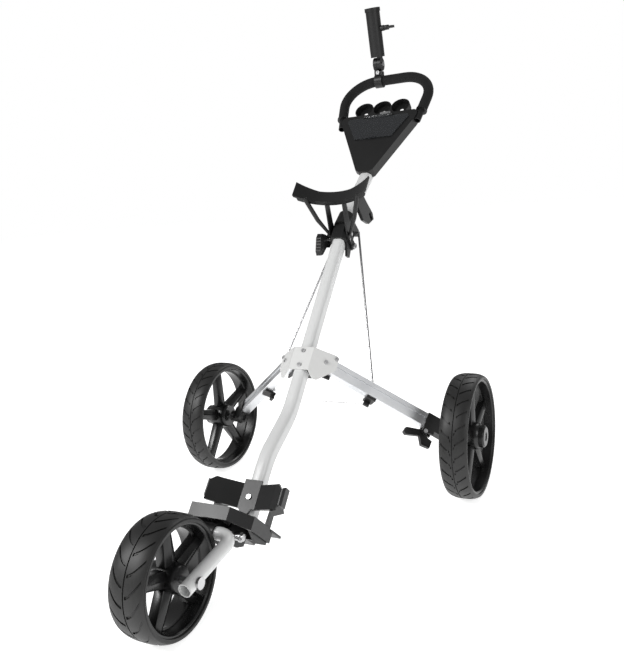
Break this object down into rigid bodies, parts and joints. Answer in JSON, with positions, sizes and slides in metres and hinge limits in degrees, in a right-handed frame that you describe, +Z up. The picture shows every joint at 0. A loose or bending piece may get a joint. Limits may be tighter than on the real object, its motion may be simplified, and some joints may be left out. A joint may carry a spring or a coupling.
{
  "type": "golf bag push cart",
  "caption": "Folding three-wheel push cart that carries a golf bag on two saddles and a shelf, with a score card console, ball cups, umbrella holder and grip loop.",
  "frame": {"origin": "on the ground under the middle of the cart's bounding box", "axes": "+X to the right seen from the front, across the cart; -Y towards the front wheel; +Z up"},
  "size_m": [0.665, 1.2007, 1.0777],
  "materials": {
    "tube_paint": "satin",
    "hub_paint": "satin",
    "black_plastic": "fine grain",
    "console_plastic": "fine grain",
    "steel": "zinc plated",
    "rod_steel": "bright",
    "arm_alloy": "brushed",
    "wheel_plastic": "moulded",
    "tyre_rubber": "treaded",
    "grip_foam": "foam",
    "smoke_window": "smoke tinted"
  },
  "bodies": {
    "frame": {"main_tube": "tube_paint", "tube_end_plug": "black_plastic", "hub_bracket": "hub_paint", "hub_core": "black_plastic", "hub_screws": "steel", "hinge_base": "black_plastic", "hinge_rivets": "steel", "hinge_pin": "steel", "upper_cradle": "black_plastic", "strap_hook": "black_plastic", "lower_cradle": "black_plastic", "base_shelf": "black_plastic", "base_screws": "steel", "fork_ears": "black_plastic", "fork_pin": "steel", "plunger_sleeve": "steel", "latch_pin": "steel", "tension_wire": "rod_steel"},
    "handle": {"hinge_yoke": "black_plastic", "upper_tube": "tube_paint", "latch_catch": "black_plastic", "console_back": "black_plastic", "console_front": "console_plastic", "ball_tray": "black_plastic", "card_clip": "steel", "console_screws": "steel", "handle_tube": "steel", "foam_grip": "grip_foam", "grip_collars": "black_plastic", "umbrella_clamp": "black_plastic", "clamp_bolt": "steel", "knuckle_bolt": "steel"},
    "latch": {"latch_lever": "black_plastic"},
    "lid": {"score_lid": "smoke_window"},
    "umbrella": {"umbrella_tube": "black_plastic"},
    "umbrella_screw": {"thumb_screw": "black_plastic"},
    "arm_right": {"arm_right": "arm_alloy", "axle_bracket_right": "black_plastic", "axle_right": "steel", "cord_clip_right": "black_plastic", "brake_pin": "steel"},
    "arm_left": {"arm_left": "arm_alloy", "axle_bracket_left": "black_plastic", "axle_left": "steel", "cord_clip_left": "black_plastic"},
    "brake": {"brake_pedal": "black_plastic"},
    "rod_right": {"rod_right": "rod_steel"},
    "rod_left": {"rod_left": "rod_steel"},
    "wheel_right": {"rim_right": "wheel_plastic", "tyre_right": "tyre_rubber", "hub_cap_right": "wheel_plastic"},
    "wheel_left": {"rim_left": "wheel_plastic", "tyre_left": "tyre_rubber", "hub_cap_left": "wheel_plastic"},
    "fork": {"fork_tube": "tube_paint", "fork_clamp": "black_plastic", "front_axle": "steel"},
    "wheel_front": {"rim_front": "wheel_plastic", "tyre_front": "tyre_rubber"},
    "plunger": {"plunger": "steel"}
  },
  "joints": [
    {"name": "handle_fold", "type": "hinge", "parent": "frame", "child": "handle", "pos_m": [0, 0.21385, 0.50416], "axis": [1, 0, 0], "range_deg": [-140, 0]},
    {"name": "arm_fold_right", "type": "hinge", "parent": "frame", "child": "arm_right", "pos_m": [0.03835, -0.00933, 0.28921], "axis": [0.6629, -0.5422, 0.5163], "range_deg": [-56.26, 0]},
    {"name": "arm_fold_left", "type": "hinge", "parent": "frame", "child": "arm_left", "pos_m": [-0.03835, -0.00933, 0.28921], "axis": [-0.6629, -0.5422, 0.5163], "range_deg": [0, 56.26]},
    {"name": "rod_swing_right", "type": "hinge", "parent": "arm_right", "child": "rod_right", "pos_m": [0.11924, 0.04267, 0.21284], "axis": [0.6119, -0.5716, 0.5466], "range_deg": [0, 43.86]},
    {"name": "rod_swing_left", "type": "hinge", "parent": "arm_left", "child": "rod_left", "pos_m": [-0.11924, 0.04267, 0.21284], "axis": [-0.6119, -0.5716, 0.5466], "range_deg": [-43.86, 0]},
    {"name": "wheel_spin_right", "type": "hinge", "parent": "arm_right", "child": "wheel_right", "pos_m": [0.2975, 0.09615, 0.125], "axis": [1, 0, 0], "continuous": true},
    {"name": "wheel_spin_left", "type": "hinge", "parent": "arm_left", "child": "wheel_left", "pos_m": [-0.2975, 0.09615, 0.125], "axis": [1, 0, 0], "continuous": true},
    {"name": "fork_fold", "type": "hinge", "parent": "frame", "child": "fork", "pos_m": [0, -0.3458, 0.07928], "axis": [1, 0, 0], "range_deg": [0, 100]},
    {"name": "wheel_spin_front", "type": "hinge", "parent": "fork", "child": "wheel_front", "pos_m": [0, -0.50685, 0.093], "axis": [1, 0, 0], "continuous": true},
    {"name": "plunger_pull", "type": "slide", "parent": "frame", "child": "plunger", "axis": [1, 0, 0], "range_m": [0, 0.008], "stiffness_N_per_m": 600},
    {"name": "brake_press", "type": "hinge", "parent": "arm_right", "child": "brake", "pos_m": [0.2141, 0.06012, 0.13647], "axis": [0.6629, -0.5422, 0.5163], "range_deg": [0, 12]},
    {"name": "latch_open", "type": "hinge", "parent": "frame", "child": "latch", "pos_m": [0, 0.18582, 0.52257], "axis": [1, 0, 0], "range_deg": [0, 15]},
    {"name": "lid_open", "type": "hinge", "parent": "handle", "child": "lid", "pos_m": [0, 0.47508, 0.80171], "axis": [1, 0, 0], "range_deg": [-110, 0]},
    {"name": "umbrella_tilt", "type": "hinge", "parent": "handle", "child": "umbrella", "pos_m": [-0.032, 0.58385, 0.94041], "axis": [1, 0, 0], "range_deg": [-90, 75]},
    {"name": "thumb_screw_turn", "type": "hinge", "parent": "umbrella", "child": "umbrella_screw", "pos_m": [-0.032, 0.56909, 1.02412], "axis": [1, 0, 0], "range_deg": [-180, 180]}
  ],
  "couplings": [
    {"joint": "arm_fold_right", "follows": "handle_fold", "ratio": 0.40153},
    {"joint": "arm_fold_left", "follows": "handle_fold", "ratio": -0.40153},
    {"joint": "rod_swing_right", "follows": "handle_fold", "ratio": -0.31292},
    {"joint": "rod_swing_left", "follows": "handle_fold", "ratio": 0.31292}
  ]
}
